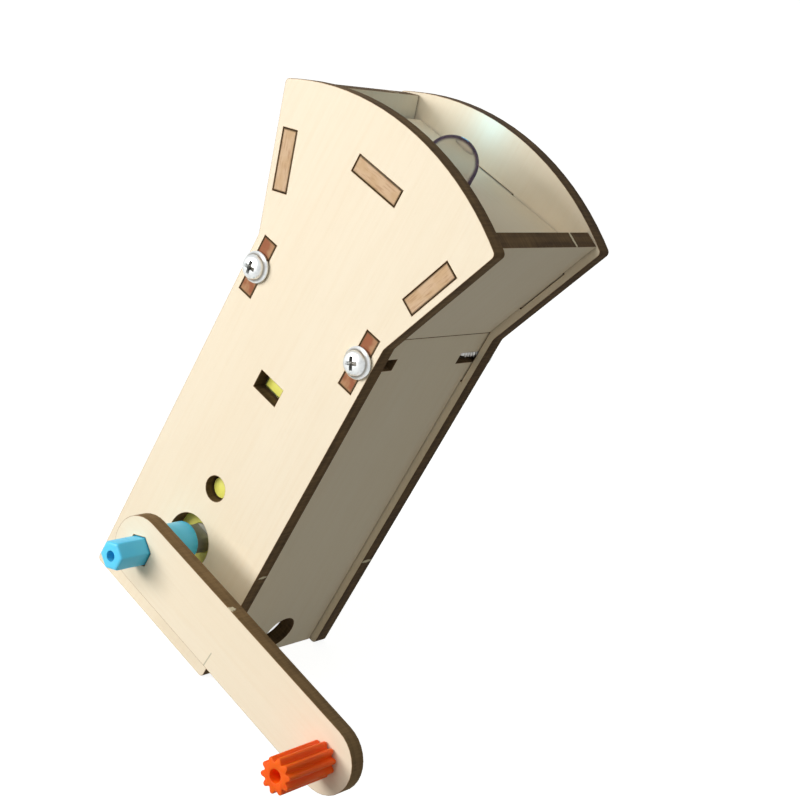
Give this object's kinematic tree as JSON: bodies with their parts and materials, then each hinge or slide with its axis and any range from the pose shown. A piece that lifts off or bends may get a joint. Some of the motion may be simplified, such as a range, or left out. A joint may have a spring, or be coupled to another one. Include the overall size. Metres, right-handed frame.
{
  "type": "hand crank torch",
  "caption": "Laser-cut plywood hand crank torch kit: side plates, slotted cross pieces, a geared motor generator, crank arm with ridged knob, and a large clear lamp in a flared head.",
  "frame": {"origin": "middle of the front side plate's tail edge, where the torch stands on its open tail", "axes": "+Z along the torch from tail to lamp, +X towards the right strip, -Y out of the front plate where the crank is"},
  "size_m": [0.0844, 0.061, 0.1085],
  "materials": {
    "plywood": "pale laser-cut plywood with burnt edges",
    "yellow_plastic": "moulded, satin",
    "blue_plastic": "moulded, satin",
    "orange_plastic": "moulded, satin",
    "white_plastic": "moulded, satin",
    "zinc_steel": "bright zinc plated steel",
    "bright_steel": "bright steel",
    "dark_steel": "dark steel laminations",
    "brass": "turned",
    "magnet": "dark ferrite",
    "clear_plastic": "clear",
    "red_lead": "soft insulation",
    "black_lead": "soft insulation"
  },
  "bodies": {
    "torch": {"front_side_plate": "plywood", "back_side_plate": "plywood", "right_handle_strip": "plywood", "left_handle_strip": "plywood", "right_head_plate": "plywood", "left_head_plate": "plywood", "lamp_bulkhead": "plywood", "front_screw_right": "zinc_steel", "front_screw_left": "zinc_steel", "back_screw_right": "zinc_steel", "back_screw_left": "zinc_steel", "gearbox_front_half": "yellow_plastic", "gearbox_back_half": "yellow_plastic", "gearbox_screw_1": "zinc_steel", "gearbox_screw_2": "zinc_steel", "gear_pin_a": "bright_steel", "gear_pin_b": "bright_steel", "motor_can": "bright_steel", "motor_end_cap": "white_plastic", "front_bearing": "brass", "magnet_right": "magnet", "magnet_left": "magnet", "terminal_right": "brass", "terminal_left": "brass", "motor_strap": "clear_plastic", "led_bulb": "clear_plastic", "led_leg_right": "zinc_steel", "led_leg_left": "zinc_steel", "red_lead": "red_lead", "black_lead": "black_lead"},
    "crank": {"output_gear": "white_plastic", "shaft_coupling": "blue_plastic", "crank_arm": "plywood"},
    "knob": {"crank_knob": "orange_plastic", "knob_screw": "zinc_steel"},
    "gear_a": {"compound_gear_a": "white_plastic"},
    "gear_b": {"crown_gear_b": "white_plastic"},
    "rotor": {"motor_pinion": "brass", "motor_shaft": "bright_steel", "armature": "dark_steel", "commutator": "brass"}
  },
  "joints": [
    {"name": "crank_spin", "type": "hinge", "parent": "torch", "child": "crank", "pos_m": [0, 0, 0.01935], "axis": [0, -1, 0], "continuous": true},
    {"name": "knob_spin", "type": "hinge", "parent": "crank", "child": "knob", "pos_m": [0.052, 0, 0.01935], "axis": [0, -1, 0], "continuous": true},
    {"name": "gear_a_spin", "type": "hinge", "parent": "torch", "child": "gear_a", "pos_m": [0, 0, 0.02948], "axis": [0, -1, 0], "continuous": true},
    {"name": "gear_b_spin", "type": "hinge", "parent": "torch", "child": "gear_b", "pos_m": [0, 0, 0.03848], "axis": [0, -1, 0], "continuous": true},
    {"name": "rotor_spin", "type": "hinge", "parent": "torch", "child": "rotor", "pos_m": [0, 0.0111, 0], "axis": [0, 0, 1], "continuous": true}
  ],
  "couplings": [
    {"joint": "gear_a_spin", "follows": "crank_spin", "ratio": -4},
    {"joint": "gear_b_spin", "follows": "crank_spin", "ratio": 12},
    {"joint": "rotor_spin", "follows": "crank_spin", "ratio": -48}
  ]
}
